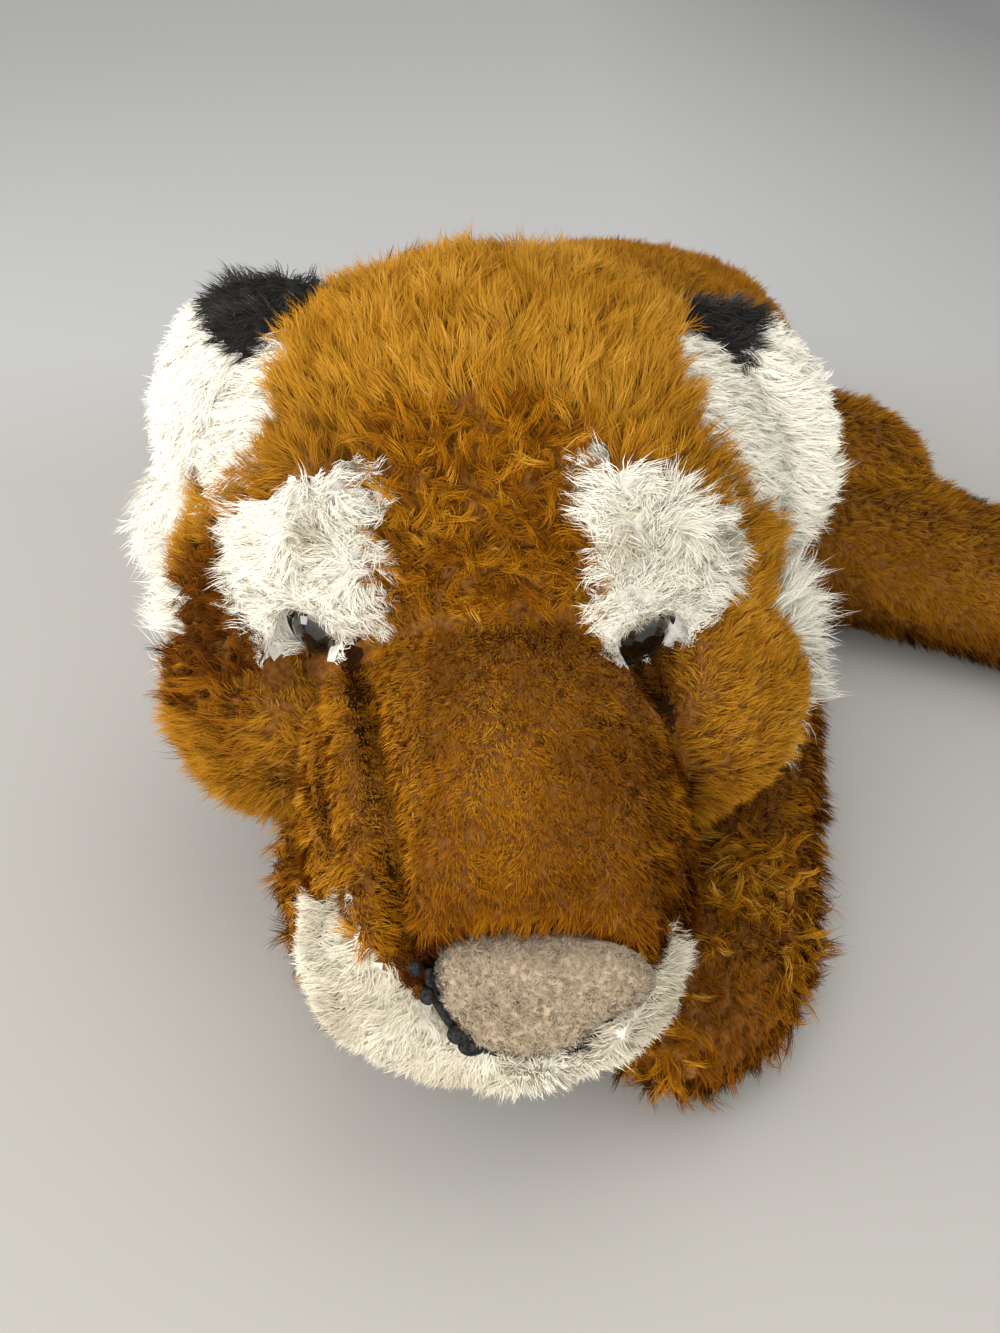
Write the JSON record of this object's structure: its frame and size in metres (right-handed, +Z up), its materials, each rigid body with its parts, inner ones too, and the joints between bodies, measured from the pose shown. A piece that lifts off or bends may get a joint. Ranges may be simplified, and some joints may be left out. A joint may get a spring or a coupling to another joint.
{
  "type": "plush tiger",
  "caption": "Large floppy plush tiger lying on its belly with its chin over a forepaw, a long soft muzzle, white eye patches and long white ear and cheek tufts",
  "frame": {"origin": "middle of the flat of the belly, on the floor that the tiger lies on", "axes": "+Z up, +Y towards the rump along the torso, +X towards the tiger's left"},
  "size_m": [0.6058, 0.7187, 0.209],
  "materials": {
    "orange_plush": "long golden-brown pile on a knitted backing",
    "black_plush": "black pile",
    "white_plush": "long warm-white pile",
    "nose_fleece": "short beige-pink fleece",
    "black_felt": "black felt and thread",
    "polyester_filling": "loose polyester fibre",
    "eye_plastic": "glossy black-brown plastic",
    "washer_plastic": "matt natural plastic"
  },
  "bodies": {
    "torso": {"torso_cover": "orange_plush", "torso_filling": "polyester_filling", "belly_panel": "white_plush"},
    "head": {"head_cover": "orange_plush", "head_filling": "polyester_filling", "cheek_left": "orange_plush", "cheek_right": "orange_plush", "ruff_left": "white_plush", "ruff_right": "white_plush", "muzzle_bridge": "orange_plush", "muzzle_side_left": "orange_plush", "muzzle_side_right": "orange_plush", "whisker_pad_left": "white_plush", "whisker_pad_right": "white_plush", "chin": "white_plush", "nose": "nose_fleece", "mouth_thread": "black_felt", "eye_patch_left": "white_plush", "eye_patch_right": "white_plush", "eye_left": "eye_plastic", "eye_right": "eye_plastic", "eye_felt_left": "black_felt", "eye_felt_right": "black_felt", "eye_washer_left": "washer_plastic", "eye_washer_right": "washer_plastic"},
    "ear_left": {"ear_back_left": "black_plush", "ear_lining_left": "white_plush"},
    "ear_right": {"ear_back_right": "black_plush", "ear_lining_right": "white_plush"},
    "foreleg_left": {"foreleg_left": "orange_plush", "foreleg_left_filling": "polyester_filling"},
    "foreleg_right": {"foreleg_right": "orange_plush", "foreleg_right_filling": "polyester_filling"},
    "hindleg_left": {"hindleg_left": "orange_plush", "hindleg_left_filling": "polyester_filling"},
    "hindleg_right": {"hindleg_right": "orange_plush", "hindleg_right_filling": "polyester_filling"},
    "tail": {"tail_band_1": "orange_plush", "tail_band_2": "black_plush", "tail_band_3": "orange_plush", "tail_band_4": "black_plush", "tail_band_5": "orange_plush", "tail_band_6": "black_plush", "tail_band_7": "orange_plush", "tail_band_8": "black_plush"}
  },
  "joints": [
    {"name": "head_lift", "type": "hinge", "parent": "torso", "child": "head", "pos_m": [0, -0.13, 0.095], "axis": [-0.956, -0.2923, -0.0262], "range_deg": [0, 15]},
    {"name": "ear_left_fold", "type": "hinge", "parent": "head", "child": "ear_left", "pos_m": [0.08044, -0.12423, 0.14908], "axis": [0.467, 0.2336, -0.8528], "range_deg": [-10, 15], "stiffness_Nm_per_rad": 0.05},
    {"name": "ear_right_fold", "type": "hinge", "parent": "head", "child": "ear_right", "pos_m": [-0.07277, -0.17107, 0.15488], "axis": [0.4744, 0.0543, 0.8786], "range_deg": [-10, 15], "stiffness_Nm_per_rad": 0.05},
    {"name": "foreleg_left_splay", "type": "hinge", "parent": "torso", "child": "foreleg_left", "pos_m": [0.083, -0.06, 0.031], "axis": [0, 0, 1], "range_deg": [0, 35]},
    {"name": "foreleg_right_splay", "type": "hinge", "parent": "torso", "child": "foreleg_right", "pos_m": [-0.074, -0.088, 0.031], "axis": [0, 0, 1], "range_deg": [-50, 0]},
    {"name": "hindleg_left_swing", "type": "hinge", "parent": "torso", "child": "hindleg_left", "pos_m": [0.0808, 0.048, 0.033], "axis": [0, 0, 1], "range_deg": [-25, 20]},
    {"name": "hindleg_right_swing", "type": "hinge", "parent": "torso", "child": "hindleg_right", "pos_m": [-0.0952, 0.048, 0.033], "axis": [0, 0, 1], "range_deg": [0, 45]},
    {"name": "tail_swing", "type": "hinge", "parent": "torso", "child": "tail", "pos_m": [-0.012, 0.188, 0.05], "axis": [0, 0, 1], "range_deg": [-60, 8]}
  ]
}
